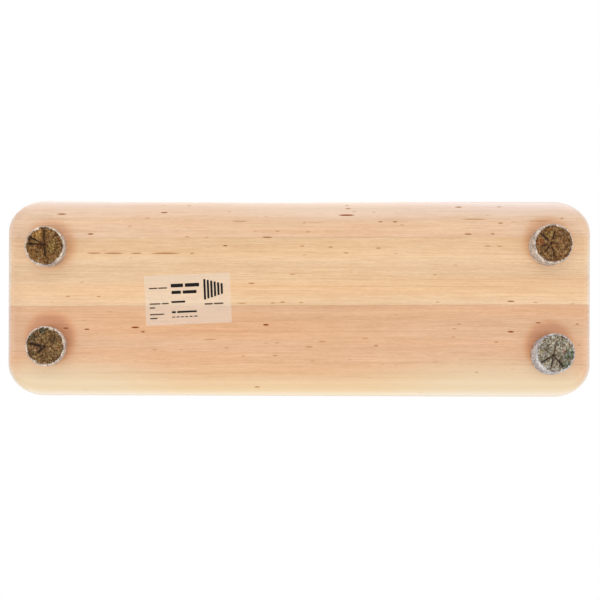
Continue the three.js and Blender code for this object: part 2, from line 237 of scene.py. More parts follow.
def opaque(value):
    """A colour with its alpha, or a socket as it is."""
    if isinstance(value, bpy.types.NodeSocket):
        return value
    return (*tuple(value)[:3], 1.0)


def tinted(ground, tint):
    """One colour times another, or times a plain number."""
    return tuple(a * b for a, b in zip(ground, tint if isinstance(tint, tuple) else (tint,) * 3))


class NodeSheet:
    """A node tree. Each call adds a node, feeds its sockets and gives back one output."""

    def __init__(self, tree):
        self.tree = tree

    def feed(self, sockets, values):
        """Links outputs to the sockets that the keys name, or sets these to plain values."""
        for key, value in values.items():
            if isinstance(value, bpy.types.NodeSocket):
                self.tree.links.new(value, sockets[key])
            else:
                sockets[key].default_value = value

    def add(self, kind, sockets=None, output=0, **settings):
        node = self.tree.nodes.new(kind)
        for name, value in settings.items():
            setattr(node, name, value)
        self.feed(node.inputs, sockets or {})
        return node.outputs[output]

    def close(self, kind, result):
        """Ends the tree in an output node."""
        self.tree.links.new(result, self.tree.nodes.new(kind).inputs[0])

    def axes(self, vector):
        """The three parts of a vector."""
        return self.add("ShaderNodeSeparateXYZ", {0: vector}).node.outputs

    def math(self, operation, *values, clamp=False):
        sockets = dict(enumerate(values))
        return self.add("ShaderNodeMath", sockets, operation=operation, use_clamp=clamp)

    def vector(self, operation, *values, output=0):
        sockets = dict(enumerate(values))
        return self.add("ShaderNodeVectorMath", sockets, output, operation=operation)

    def mix(self, factor, first, second, blend_type="MIX"):
        sockets = {0: factor, 6: opaque(first), 7: opaque(second)}
        return self.add("ShaderNodeMix", sockets, 2, data_type="RGBA", blend_type=blend_type)

    def stain(self, ground, tint, share=1.0):
        """The ground colour times a tint, as far as share says."""
        return self.mix(share, ground, tint, "MULTIPLY")

    def span(self, value, low, high, to_low=0.0, to_high=1.0):
        """The value on a smooth step from low to high."""
        sockets = {0: value, 1: low, 2: high, 3: to_low, 4: to_high}
        return self.add("ShaderNodeMapRange", sockets, interpolation_type="SMOOTHSTEP")

    def noise(self, place, per_metre, detail=2.0, roughness=0.5, output="Fac"):
        """Noise with so many waves a metre, along each axis or the same along all."""
        if isinstance(per_metre, int):
            per_metre = (per_metre,) * 3
        spread = self.vector("MULTIPLY", place, per_metre)
        sockets = {"Vector": spread, "Scale": 1.0, "Detail": detail, "Roughness": roughness}
        return self.add("ShaderNodeTexNoise", sockets, output)

    def cells(self, place, per_metre):
        """Random cells, so many a metre: distance to the middle, and three random numbers."""
        spread = self.vector("MULTIPLY", place, per_metre)
        distance = self.add("ShaderNodeTexVoronoi", {"Vector": spread, "Scale": 1.0}, "Distance")
        numbers = self.add("ShaderNodeSeparateColor", {0: distance.node.outputs["Color"]})
        return distance, *numbers.node.outputs[:3]

    def ramp(self, factor, *stops, interpolation="LINEAR"):
        """A ramp of stops, each a place and a colour or a grey level."""
        output = self.add("ShaderNodeValToRGB", {0: factor})
        ramp = output.node.color_ramp
        ramp.interpolation = interpolation
        while len(ramp.elements) < len(stops):
            ramp.elements.new(1.0)
        for element, (place, value) in zip(ramp.elements, stops):
            element.position = place
            element.color = opaque((value,) * 3 if isinstance(value, (int, float)) else value)
        return output

    def tints(self, factor, ground, *stops):
        """A ramp of one ground colour, each stop a place and a tint."""
        return self.ramp(factor, *((place, tinted(ground, tint)) for place, tint in stops))

    def tone(self, *parts):
        """0.5 and each (value, weight) part's swing about its own 0.5, from 0 to 1."""
        total = 0.5 - 0.5 * sum(weight for _, weight in parts)
        for value, weight in parts:
            total = self.math("MULTIPLY_ADD", value, weight, total)
        return self.math("ADD", total, 0.0, clamp=True)

    def bump(self, height, depth, strength=1.0):
        """A normal roughened by height, with depth in metres."""
        sockets = {"Strength": strength, "Distance": depth, "Height": height}
        return self.add("ShaderNodeBump", sockets)


def cleared(owner):
    """The emptied node tree of a material or a world."""
    owner.use_nodes = True
    owner.node_tree.nodes.clear()
    return owner.node_tree


class Finish(NodeSheet):
    """A new material with a Principled shader. place is a point in the drum's frame."""

    def __init__(self, name):
        self.material = bpy.data.materials.new(name)
        super().__init__(cleared(self.material))
        shader = self.add("ShaderNodeBsdfPrincipled")
        self.surface = shader.node.inputs
        self.close("ShaderNodeOutputMaterial", shader)
        self.place = self.add("ShaderNodeTexCoord", output="Object")

    def show(self, values):
        """Feeds the shader's named sockets and gives back the material."""
        self.feed(self.surface, values)
        return self.material


def cad_piece(name):
    """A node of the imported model."""
    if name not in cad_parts:
        raise RuntimeError(f"The packed model has no node {name}.")
    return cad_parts[name]


def corners(name):
    """The lowest and the highest corner of the box round a node."""
    return [Vector(corner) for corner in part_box(name)]


def smoothing_group():
    """Geometry nodes that weld a mesh and shade it smooth up to edges of 30 degrees."""
    group = bpy.data.node_groups.get("Smooth bevels")
    if group:
        return group
    group = bpy.data.node_groups.new("Smooth bevels", "GeometryNodeTree")
    for way in ("INPUT", "OUTPUT"):
        group.interface.new_socket("Geometry", in_out=way, socket_type="NodeSocketGeometry")
    sheet = NodeSheet(group)
    mesh = sheet.add("NodeGroupInput")
    welded = sheet.add("GeometryNodeMergeByDistance", {"Geometry": mesh, "Distance": 0.01 * MM})
    angle = sheet.add("GeometryNodeInputMeshEdgeAngle")
    sharp = sheet.add(
        "FunctionNodeCompare", {0: angle, 1: math.radians(30)}, data_type="FLOAT",
        operation="GREATER_THAN",
    )
    shaded = sheet.add(
        "GeometryNodeSetMeshNormal",
        {"Mesh": welded, "Remove Custom": True, "Edge Sharpness": sharp, "Face Sharpness": False},
        mode="SHARPNESS",
    )
    sheet.close("NodeGroupOutput", shaded)
    return group


def dress(name, material):
    """Gives a CAD node its material and smooth rounded edges."""
    piece = cad_piece(name)
    for slot in piece.material_slots:
        slot.material = material
    piece.modifiers.new("Smooth bevels", "NODES").node_group = smoothing_group()
    piece.modifiers.new("Even normals", "WEIGHTED_NORMAL").keep_sharp = True
    return piece


def made_mesh(name, shape, smooth=False):
    """The mesh of a finished shape, which is freed."""
    mesh = bpy.data.meshes.new(name)
    shape.to_mesh(mesh)
    shape.free()
    if smooth:
        mesh.shade_smooth()
    return mesh


def new_piece(mesh, material):
    """Shows a mesh as a piece of the drum, under the mesh's name."""
    mesh.materials.append(material)
    piece = bpy.data.objects.new(mesh.name, mesh)
    bpy.context.scene.collection.objects.link(piece)
    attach(piece, "root")
    return piece


def smoothstep(low, high, value):
    """0 up to low, 1 from high on, and a smooth step between."""
    place = min(max((value - low) / (high - low), 0.0), 1.0)
    return place * place * (3 - 2 * place)


# --- Wood ---------------------------------------------------------------------------------

# How a board lies: which axes run along its grain, across its face and through it.
LYING = ("X", "Y", "Z")
UPRIGHT = ("X", "Z", "Y")
END_ON = ("Y", "Z", "X")

# Dark flecks that stand out on the base, each as (right, rear, length) in millimetres and how
# dark it is. Over 1, more of it has its full colour.
FRONT_MARKS = (
    (-244, -86, 9, 0.85), (-214, -65.5, 6, 0.95), (-174, -73.5, 4, 0.35), (-156, -82, 5, 0.3),
    (-139, -88, 6.5, 0.85), (-115, -63, 5, 0.4), (-114, -95.5, 5, 0.5), (-95, -62.5, 4, 0.35),
    (-72, -89, 4, 0.3), (-61, -79, 14, 0.4), (-45.5, -69, 4, 0.25), (-33, -62.6, 9, 0.85),
    (-22.5, -69, 4, 0.4), (5, -78, 4, 0.35), (9, -68.5, 4, 0.35), (17, -78, 14, 0.2),
    (48, -85.8, 16, 1.2), (49, -96.5, 5, 0.7), (50, -93, 5, 0.6), (50, -57, 4, 0.4),
    (56, -89.5, 4, 0.35), (76.5, -89, 4, 0.3), (83, -79, 4, 0.65), (98, -79, 4, 0.75),
    (105, -76, 4, 0.3), (164, -95, 7, 0.85), (173, -66.7, 8, 0.8), (180, -81.9, 24, 0.36),
    (246, -80.3, 24, 0.3), (198, -67, 4, 0.7), (206, -78, 5, 0.65), (206, -95.5, 5, 0.5),
    (269, -83, 3, 0.6),
)
MIDDLE_MARKS = (
    (-210.5, -46, 13.5, 0.6), (-190.5, -46, 19, 0.6), (-167, -46, 11, 0.58),
    (-137.5, -46, 27, 0.62), (-110, -46, 4, 0.5), (-76, -54, 4, 0.9), (3, -54, 4, 0.55),
    (5, -45, 4, 0.25), (32, -53, 4, 0.6), (48, -47, 6, 0.5), (81, -52, 5, 0.55),
    (99, -46.5, 4, 0.3), (193, -54.5, 6, 0.5), (205, -54.5, 5, 0.5), (-173, -41, 3, 0.3),
    (-7, -25, 5, 0.45), (139, -25, 4, 0.4), (-223, -16, 4, 0.3), (-49, -15.6, 6, 0.7),
    (-237, -1.5, 4, 0.5), (-205.5, -1.5, 4, 0.45), (217, 2, 7, 0.85), (142, 3, 4, 0.4),
    (2, 4, 4, 0.45), (242, 3, 4, 0.35), (-17, 3.5, 5, 0.6), (-27, 4.5, 4, 0.5), (280, 4.5, 4, 0.35),
    (-59, 5, 9, 0.4),
)
REAR_MARKS = (
    (-239, 31, 6, 1), (-217.5, 32, 5, 1), (-168, 30, 6.5, 1.7), (-160, 34.5, 4, 0.9),
    (-34, 26.9, 5.5, 1.9), (245, 24, 6, 0.9), (164, 25.5, 4, 0.5), (285, 25, 3, 0.75),
    (159, 30.5, 5, 0.5), (217, 33.4, 5.5, 1.9), (158, 39, 4, 0.4), (68, 40.5, 6, 0.35),
    (-91, 42, 12, 0.35), (24, 44, 8, 0.35), (202, 44, 4, 0.5), (-23, 45.5, 5, 0.35),
    (286.5, 47, 3, 0.35), (79, 48, 4, 0.6), (10, 49.5, 8, 0.5), (-74.5, 50.5, 4, 0.3),
    (-148, 53, 5, 0.4), (-121, 53, 4, 0.25), (-24.5, 58.5, 6, 0.45), (-57, 59, 5, 0.4),
    (52, 62.5, 4, 0.25), (14, 63.5, 4, 0.25), (182, 75, 3, 0.4), (-43, 91, 6, 0.75),
)
MARK_DEPTH = 12 * MM  # how far a mark reaches up a rounded edge

# Painted shadow beside each foot, cast inward and forward of it: how far inward and forward of
# the foot it lies and how gradually it ends, in millimetres, and how strong it is.
FOOT_SHADOWS = {
    "front_left": (3.8, 3.2, 11, 0.55), "front_right": (0.0, 5.0, 10, 0.55),
    "rear_left": (3.2, 8.8, 11, 0.85), "rear_right": (1.5, 10.5, 9, 0.8),
}

# Where along the base, in metres, its colour changes: less yellow towards the ends, painted shade
# at the left end, and pale rims of painted highlight, broader near the ends.
LEAST_PALE = -0.02
PALER_ENDS = (0.05, 0.24)  # from there to where it starts, and to where it is full
PALE_EDGE = (0.08, 0.2)  # the same for the pale outer edges, which are painted highlights
PALE_EDGE_END = (0.295, 0.275)  # from the middle, where these stop being broader, and start
LEFT_END_SHADE = (24 * MM, 8 * MM)  # from the left end, where it starts, and where it is full

# How light each stave is across its width, from its front edge to its rear one.
FRONT_BANDS = ((0.0, 0.5), (0.35, 0.44), (0.62, 0.5), (0.72, 0.6), (0.8, 0.5), (1.0, 0.47))
MIDDLE_BANDS = (
    (0.0, 0.42), (0.12, 0.44), (0.24, 0.56), (0.32, 0.62), (0.38, 0.5), (0.5, 0.4), (0.6, 0.42),
    (0.66, 0.55), (0.78, 0.66), (0.92, 0.62), (1.0, 0.5),
)
REAR_BANDS = (
    (0.0, 0.34), (0.08, 0.4), (0.12, 0.5), (0.19, 0.38), (0.28, 0.5), (0.36, 0.6), (0.46, 0.5),
    (0.58, 0.48), (0.7, 0.58), (0.85, 0.6), (1.0, 0.62),
)


class Rim(NamedTuple):
    """A stave's pale outer edge: a painted highlight on its rounding, on the rear stave also
    sapwood. Its places run from 0 at the stave's front to 1 at its rear.
    """

    colour: tuple
    start: float
    full: float  # where it has its full share of the wood's colour
    share: float
    spread: float  # how much broader it is near the stave's ends
    wear: float  # how much painted highlight its rounded edge gets


class Stave(NamedTuple):
    """What a stave of the base has and a wall hasn't."""

    edges: tuple  # its front edge and its rear one
    bands: tuple
    marks: tuple
    rim: Rim = None


def board_place(sheet, lie):
    """A point of a board: metres along its grain, across its face and through it."""
    axes = sheet.axes(sheet.place)
    return sheet.add("ShaderNodeCombineXYZ", {place: axes[axis] for place, axis in enumerate(lie)})


def facing(sheet, *axes):
    """How far a board's normal lies along each named axis, without its sign."""
    parts = sheet.axes(sheet.add("ShaderNodeTexCoord", output="Normal"))
    return [sheet.math("ABSOLUTE", parts[axis]) for axis in axes]


def end_grain(sheet, lie):
    """1 on the sawn ends of a board and 0 on its faces."""
    return sheet.span(*facing(sheet, lie[0]), 0.55, 0.95)


def painted_edge_haze(sheet):
    """(share of the painted highlight on the base's rounded edges, and how much of it and of the
    pale rims stays near the walls).
    """
    along, across = facing(sheet, "X", "Y")
    turned = sheet.math("MAXIMUM", along, sheet.math("SUBTRACT", across, 0.35))
    level = sheet.add("ShaderNodeCombineXYZ", {0: along, 1: across})
    steep = sheet.vector("LENGTH", level, output=1)
    haze_kept = sheet.span(steep, 1.0, 0.88, 0.1, 1.0)
    return sheet.math("MULTIPLY", sheet.span(turned, 0.3, 0.85), haze_kept), haze_kept


def growth_rings(sheet, place, shifted, heart, width, sway):
    """Growth rings round a heart line: (place within the ring, a random number for the ring).

    width is a ring's, and sway is how far the rings wander.
    """
    drift = sheet.noise(shifted, (1.7, 9, 9), 2.0, 0.5, "Color")
    drift = sheet.vector("MULTIPLY_ADD", drift, (0, sway * 2, sway * 2), (0, -sway, -sway))
    moved = sheet.vector("ADD", place, drift)
    across = sheet.vector("MULTIPLY_ADD", moved, (0, 1, 1), (0, -heart[0], -heart[1]))
    rings = sheet.math("DIVIDE", sheet.vector("LENGTH", across, output=1), width)
    number = sheet.math("FLOOR", rings)
    chance = sheet.add("ShaderNodeTexWhiteNoise", {"W": number}, noise_dimensions="1D")
    return sheet.math("FRACT", rings), chance


def alder_rings(sheet, place, shifted, heart, width):
    """The dark late wood of alder's growth rings, from 0 to 1."""
    ring, chance = growth_rings(sheet, place, shifted, heart, width, 2.2 * MM)
    late_wood = sheet.ramp(ring, (0, 0.0), (0.5, 0.1), (0.84, 0.55), (0.93, 1.0), (1, 0.0))
    return sheet.math("MULTIPLY", late_wood, sheet.span(chance, 0.2, 1.0, 0.15, 1.0))


def swayed(sheet, shifted, across, edges):
    """A place across a stave of swaying grain, 0 at the stave's front and 1 at its rear."""
    sway = sheet.noise(shifted, (4.5, 12, 12))
    sway = sheet.math("MULTIPLY_ADD", sway, 26 * MM, -13 * MM)
    across = sheet.math("ADD", across, sway)
    return sheet.add("ShaderNodeMapRange", {0: across, 1: edges[0], 2: edges[1]})


def random_flecks(sheet, shifted, strength):
    """Short flecks at random places, from 0 to 1."""
    distance, rare, faint, _ = sheet.cells(shifted, (75, 430, 430))
    fleck = sheet.math("MULTIPLY", sheet.span(distance, 0.3, 0.12), sheet.span(rare, 0.9, 0.94))
    return sheet.math("MULTIPLY", fleck, sheet.math("MULTIPLY", faint, strength))


def named_flecks(sheet, place, marks, ragged):
    """How dark the marks on the base's underside are at a place, from 0 to 1."""
    darkest = 0.0
    for right, rear, long, strength in marks:
        half_breadth = 0.5 + 0.1 * strength + 0.01 * long
        size = (2 / (long * MM), 1 / (half_breadth * MM), 1 / MARK_DEPTH)
        middle = (right * MM, rear * MM, BASE_UNDERSIDE)
        start = tuple(-a * b for a, b in zip(size, middle))
        offset = sheet.vector("MULTIPLY_ADD", place, size, start)
        distance = sheet.math("ADD", sheet.vector("LENGTH", offset, output=1), ragged)
        shade = sheet.add("ShaderNodeMapRange", {0: distance, 1: 1.3, 2: 0.7, 3: 0.0, 4: strength})
        darkest = sheet.math("MAXIMUM", shade, darkest)
    return sheet.math("MINIMUM", darkest, 1.0)


def painted_foot_shadow(sheet, place, ragged):
    """A painted shadow beside each felt foot: the lacquer tinted warmer and darker where the foot
    casts shade.
    """
    shadow_share = 0.0
    for name, (inward, forward, fade, strength) in FOOT_SHADOWS.items():
        low, high = corners(f"felt_foot_{name}")
        middle = (low + high) / 2
        reach = (high.x - low.x) / 2
        inward = math.copysign(inward * MM, middle.x)
        spot = (middle.x - inward, middle.y - forward * MM, BASE_UNDERSIDE)
        away = sheet.vector("DISTANCE", place, spot, output=1)
        away = sheet.math("MULTIPLY_ADD", ragged, 1.5 * MM, away)
        near = sheet.span(away, reach + fade * MM, reach - 1 * MM, 0.0, strength)
        shadow_share = sheet.math("MAXIMUM", near, shadow_share)
    return sheet.ramp(shadow_share, (0, 1.0), (0.35, (0.98, 0.86, 0.77)), (1, (0.83, 0.61, 0.52)))


def stave_tints_and_painted_light(sheet, wood, along, across, rim):
    """A stave's wood, less yellow towards the ends, with painted shade at its left end, its pale
    rim and a painted highlight on its rounded edges.
    """
    # The wood is less yellow towards both ends of the base.
    away = sheet.math("ABSOLUTE", sheet.math("SUBTRACT", along, LEAST_PALE))
    paling = sheet.span(away, *PALER_ENDS)
    wood = sheet.stain(wood, sheet.mix(paling, (0.995, 0.975, 0.94), (0.985, 0.985, 0.985)))
    # Painted shade: the left end is darker and greyer, for the weaker light that falls on it.
    left_end_shade = sheet.span(along, *(CAD_BOX[0][0] + place for place in LEFT_END_SHADE))
    wood = sheet.stain(wood, (0.935, 0.915, 0.92), left_end_shade)
    # worn is the share of the painted highlight on the rounded edges.
    worn, haze_kept = painted_edge_haze(sheet)
    # The pale rim is a painted highlight along the rounded outer edge, broader and bluer near the
    # ends; on the rear stave it is also sapwood.
    if rim:
        far = sheet.span(away, *PALE_EDGE)
        near_tint, far_tint = (1.0, 0.985, 0.94), (0.985, 1.01, 1.1)
        pale = sheet.mix(far, tinted(rim.colour, near_tint), tinted(rim.colour, far_tint))
        ends = sheet.span(sheet.math("ABSOLUTE", along), *PALE_EDGE_END)
        far = sheet.math("MULTIPLY", far, ends)
        wider = sheet.math("MULTIPLY_ADD", far, rim.spread, across)
        share = sheet.span(wider, rim.start, rim.full, 0.0, rim.share)
        wood = sheet.mix(sheet.math("MULTIPLY", share, haze_kept), wood, pale)
        worn = sheet.math("MULTIPLY", worn, rim.wear)
    # Painted highlight: a pale bluish haze on the rounded edges, standing in for the lacquer's
    # sheen against the bright surroundings.
    return sheet.stain(wood, (0.96, 1.26, 1.78), worn)


def alder(settings, name, ground, lie, heart, seed, stave=None):
    """Lacquered alder. heart is where the tree's middle lay, across and through the board."""
    sheet = Finish(name)
    place = board_place(sheet, lie)
    shifted = sheet.vector("ADD", place, (seed * 1.7, seed * 0.9, seed * 1.3))
    late_wood = alder_rings(sheet, place, shifted, heart, settings.ring_width)
    streaks = sheet.noise(shifted, (4, 190, 190), 2.0, 0.55)
    hairs = sheet.noise(shifted, (9, 720, 720), 2.0, 0.6)
    short_hairs = sheet.noise(shifted, (42, 900, 900), 2.0, 0.6)
    fibres = sheet.noise(shifted, (190, 1150, 1150), 2.0, 0.6)
    lines = sheet.span(sheet.noise(shifted, (1.8, 360, 360), 1.0, 0.4), 0.36, 0.27)
    clouds = sheet.noise(shifted, (3.5, 24, 24))
    shimmer = sheet.noise(shifted, (50, 110, 110))
    parts = [
        (late_wood, -0.12), (streaks, 0.24), (hairs, 0.52), (short_hairs, 0.7), (fibres, 0.5),
        (lines, -0.16), (clouds, 0.3), (shimmer, 0.2),
    ]
    if stave:
        along, across, _ = sheet.axes(place)
        across = swayed(sheet, shifted, across, stave.edges)
        parts.append((sheet.ramp(across, *stave.bands), 0.7))
    tone = sheet.tone(*((value, weight * settings.contrast) for value, weight in parts))
    wood = sheet.mix(tone, tinted(ground, (0.79, 0.67, 0.53)), tinted(ground, (1.21, 1.33, 1.47)))
    rosy = sheet.span(sheet.noise(shifted, (2.6, 46, 46)), 0.3, 0.7)
    wood = sheet.stain(wood, sheet.mix(rosy, (0.985, 1.025, 1.07), (1.015, 0.975, 0.93)))

    fleck = random_flecks(sheet, shifted, 0.25 if stave else 0.6)
    if stave:
        wood = stave_tints_and_painted_light(sheet, wood, along, across, stave.rim)
        ragged = sheet.math("MULTIPLY_ADD", hairs, 0.9, -0.45)
        fleck = sheet.math("MAXIMUM", fleck, named_flecks(sheet, place, stave.marks, ragged))
        # Painted shadow of the feet on the base.
        wood = sheet.stain(wood, painted_foot_shadow(sheet, place, ragged))
    wood = sheet.stain(wood, (1.0, 0.93, 0.64), sheet.span(fleck, 0.0, 0.6))
    wood = sheet.mix(fleck, wood, settings.fleck)

    sawn = end_grain(sheet, lie)
    wood = sheet.stain(wood, (0.74, 0.62, 0.5), sawn)
    vessels = sheet.math("MULTIPLY", sheet.span(fibres, 0.42, 0.3), sawn)
    gloss = sheet.tone((fibres, 0.14), (clouds, 0.12))
    gloss = sheet.math("ADD", gloss, settings.roughness - 0.5)
    relief = sheet.math("MULTIPLY_ADD", late_wood, -0.35, fibres)
    relief = sheet.math("MULTIPLY_ADD", fleck, -0.8, relief)
    return sheet.show({
        "Base Color": sheet.mix(sheet.math("MULTIPLY", vessels, 0.4), wood, settings.fleck),
        "Roughness": sheet.math("MULTIPLY_ADD", sawn, 0.14, gloss),
        "Normal": sheet.bump(relief, 0.022 * MM),
        "Coat Weight": sheet.math("MULTIPLY_ADD", fleck, -settings.coat, settings.coat),
        "Coat Roughness": 0.32,
        "Specular IOR Level": 0.3,
    })


def padauk(settings, name):
    """Oiled padauk, for a plank whose tree's middle lay under it."""
    sheet = Finish(name)
    place = board_place(sheet, LYING)
    shifted = sheet.vector("ADD", place, (2.3, 0.7, 1.9))
    heart, width, sway = (22 * MM, 20 * MM), settings.ring_width, 8 * MM
    ring, chance = growth_rings(sheet, place, shifted, heart, width, sway)
    streak_line = sheet.ramp(ring, (0, 0.1), (0.4, 0.0), (0.78, 0.45), (0.9, 1.0), (1, 0.1))
    streaks = sheet.noise(shifted, (1.6, 110, 110), 4.0, 0.62)
    clouds = sheet.noise(shifted, (3, 18, 18))
    fibres = sheet.noise(shifted, (30, 1300, 1300), 2.0, 0.6)
    ribbons = sheet.noise(shifted, (7, 42, 42))
    darkness = sheet.math("MULTIPLY", streak_line, sheet.span(chance, 0.3, 1.0, 0.1, 0.75))
    darkness = sheet.math("MULTIPLY", darkness, sheet.span(streaks, 0.35, 0.6, 0.45, 1.0))
    wood = sheet.ramp(
        sheet.tone((streaks, 1.3), (clouds, 0.8), (ribbons, 0.35), (fibres, 0.2)),
        (0.12, tinted(settings.heartwood, (0.62, 0.55, 0.55))),
        (0.42, settings.heartwood),
        (0.6, tinted(settings.heartwood, (1.2, 1.2, 1.1))),
        (0.92, settings.bright),
    )
    wood = sheet.mix(darkness, wood, settings.dark)

    slits = sheet.noise(shifted, (75, 1500, 1500), 1.0, 0.4)
    scarce = sheet.noise(shifted, (20, 120, 120), 1.0)
    limit = sheet.math("MULTIPLY_ADD", scarce, -0.12, 0.72)
    pores = sheet.span(sheet.math("SUBTRACT", slits, limit), 0.0, 0.05)
    wood = sheet.mix(sheet.math("MULTIPLY", pores, 0.8), wood, settings.pore)
    sawn = end_grain(sheet, LYING)
    gloss = sheet.tone((ribbons, 0.2), (fibres, 0.16))
    gloss = sheet.math("ADD", gloss, settings.roughness - 0.5)
    relief = sheet.math("MULTIPLY_ADD", pores, -2.2, fibres)
    return sheet.show({
        "Base Color": sheet.stain(wood, (0.5, 0.42, 0.42), sawn),
        "Roughness": sheet.math("MULTIPLY_ADD", pores, 0.3, gloss),
        "Normal": sheet.bump(relief, 0.04 * MM),
        "Coat Weight": 0.1,
        "Coat Roughness": 0.3,
    })


class LOG_DRUM_OT_finish_alder(bpy.types.Operator):
    """Gives the staves of the base and the four walls their lacquered alder"""

    bl_idname = "log_drum.finish_alder"
    bl_label = "Finish the Alder Boards"

    def execute(self, context):
        settings = context.scene.log_drum.alder
        # The front rim is a painted highlight; the rear rim is sapwood colour and painted
        # highlight.
        paling = Rim(settings.front_edge_highlight, start=0.6, full=0.0, share=0.57, spread=0.0, wear=0.4)
        sapwood_and_highlight = Rim(settings.sapwood_and_highlight, start=0.62, full=1.0, share=0.85, spread=0.1, wear=1.0)
        staves = (
            ("front", settings.front_stave, (-0.18, -0.13), FRONT_BANDS, FRONT_MARKS, paling),
            ("middle", settings.middle_stave, (0.16, -0.21), MIDDLE_BANDS, MIDDLE_MARKS, None),
            ("rear", settings.rear_stave, (-0.11, 0.2), REAR_BANDS, REAR_MARKS, sapwood_and_highlight),
        )
        for seed, (name, ground, heart, bands, marks, rim) in enumerate(staves, 1):
            node = f"base_stave_{name}"
            low, high = corners(node)
            stave = Stave((low.y, high.y), bands, marks, rim)
            material = f"alder_stave_{name}"
            dress(node, alder(settings, material, ground, LYING, heart, seed, stave))
        walls = (
            ("long_wall_front", UPRIGHT, (0.3, -0.1), 4),
            ("long_wall_rear", UPRIGHT, (0.02, 0.22), 5),
            ("end_wall_left", END_ON, (0.12, -0.42), 6),
            ("end_wall_right", END_ON, (-0.02, 0.4), 7),
        )
        for node, lie, heart, seed in walls:
            dress(node, alder(settings, f"alder_{node}", settings.walls, lie, heart, seed))
        return {"FINISHED"}


class LOG_DRUM_OT_finish_padauk(bpy.types.Operator):
    """Gives the plank with the six tongues its oiled padauk"""

    bl_idname = "log_drum.finish_padauk"
    bl_label = "Finish the Tongue Plate"

    def execute(self, context):
        dress("tongue_plate", padauk(context.scene.log_drum.padauk, "padauk_plank"))
        return {"FINISHED"}


# --- Felt feet and screws -----------------------------------------------------------------

# Creases in each foot's face, where the screw has drawn it in. Each one is its angle from the
# drum's right towards its rear, in degrees, where it starts and ends from the screw, its
# breadth there and there, in millimetres, and its share of the full depth.
# A crease's share also sets how dark the painted shade in it is.
CREASES = {
    "front_left": (
        (-155, 5, 17.6, 0.7, 1.15, 1.0), (179, 4, 18.2, 0.8, 1.1, 1.0),
        (-92, 2, 15.5, 1.2, 1.9, 0.72), (85, 2, 13.8, 1.3, 1.3, 0.8),
        (178, 0, 5, 1.9, 1.5, 0.6), (30, 4, 9, 0.6, 0.7, 0.2),
    ),
    "front_right": (
        (-150, 3, 16.6, 0.9, 1.1, 0.95), (-83, 2, 11.8, 1.0, 1.2, 0.65),
        (89, 2, 16.4, 0.9, 1.1, 0.7), (129, 3, 13.8, 0.9, 1.1, 0.8),
        (159, 4, 15.8, 0.9, 1.2, 0.6), (10, 1, 6, 1.4, 1.0, 0.4),
    ),
    "rear_left": (
        (-171, 1, 17.8, 1.0, 1.5, 1.0), (138, 1, 11, 1.2, 2.0, 0.85), (-60, 4, 9, 0.6, 0.8, 0.3),
        (85, 1, 5, 0.7, 0.7, 0.5),
    ),
    "rear_right": (
        (147, 1, 18.6, 0.8, 1.2, 1.0), (106, 2, 16, 0.9, 1.3, 0.85), (61, 1, 17, 0.8, 1.7, 1.0),
        (-85, 1, 13, 1.0, 1.3, 0.65), (-158, 2, 13, 0.6, 0.8, 0.5),
    ),
}

# Patches of other felt in each foot's face: right and rear from the screw and radius, in
# millimetres, and how the patch tints the face.
PATCHES = {
    "front_left": (
        (-5.9, -10, 5, (1.5, 1.6, 1.6)), (8, 2, 6, (0.95, 1.08, 0.95)),
        (-1.5, 0, 5.5, (0.7, 0.58, 0.42)),
    ),
    "front_right": ((-11.5, -1, 4, (1.35, 1.0, 0.85)), (-3, -9, 5, (1.05, 1.15, 0.95))),
    "rear_left": (
        (-12, -9.5, 5, (0.5, 0.55, 0.55)), (-7.8, 1.6, 3.5, (0.95, 0.8, 1.0)),
        (-1.6, -16.5, 3.5, (0.5, 0.75, 1.1)),
    ),
    "rear_right": (
        (15.5, -1.5, 6, (0.55, 0.7, 0.64)), (12, 9.5, 5, (0.6, 0.75, 0.72)),
        (11, -4.4, 2, (1.2, 0.6, 0.7)), (0, 0, 4, (0.75, 0.7, 0.62)),
    ),
}


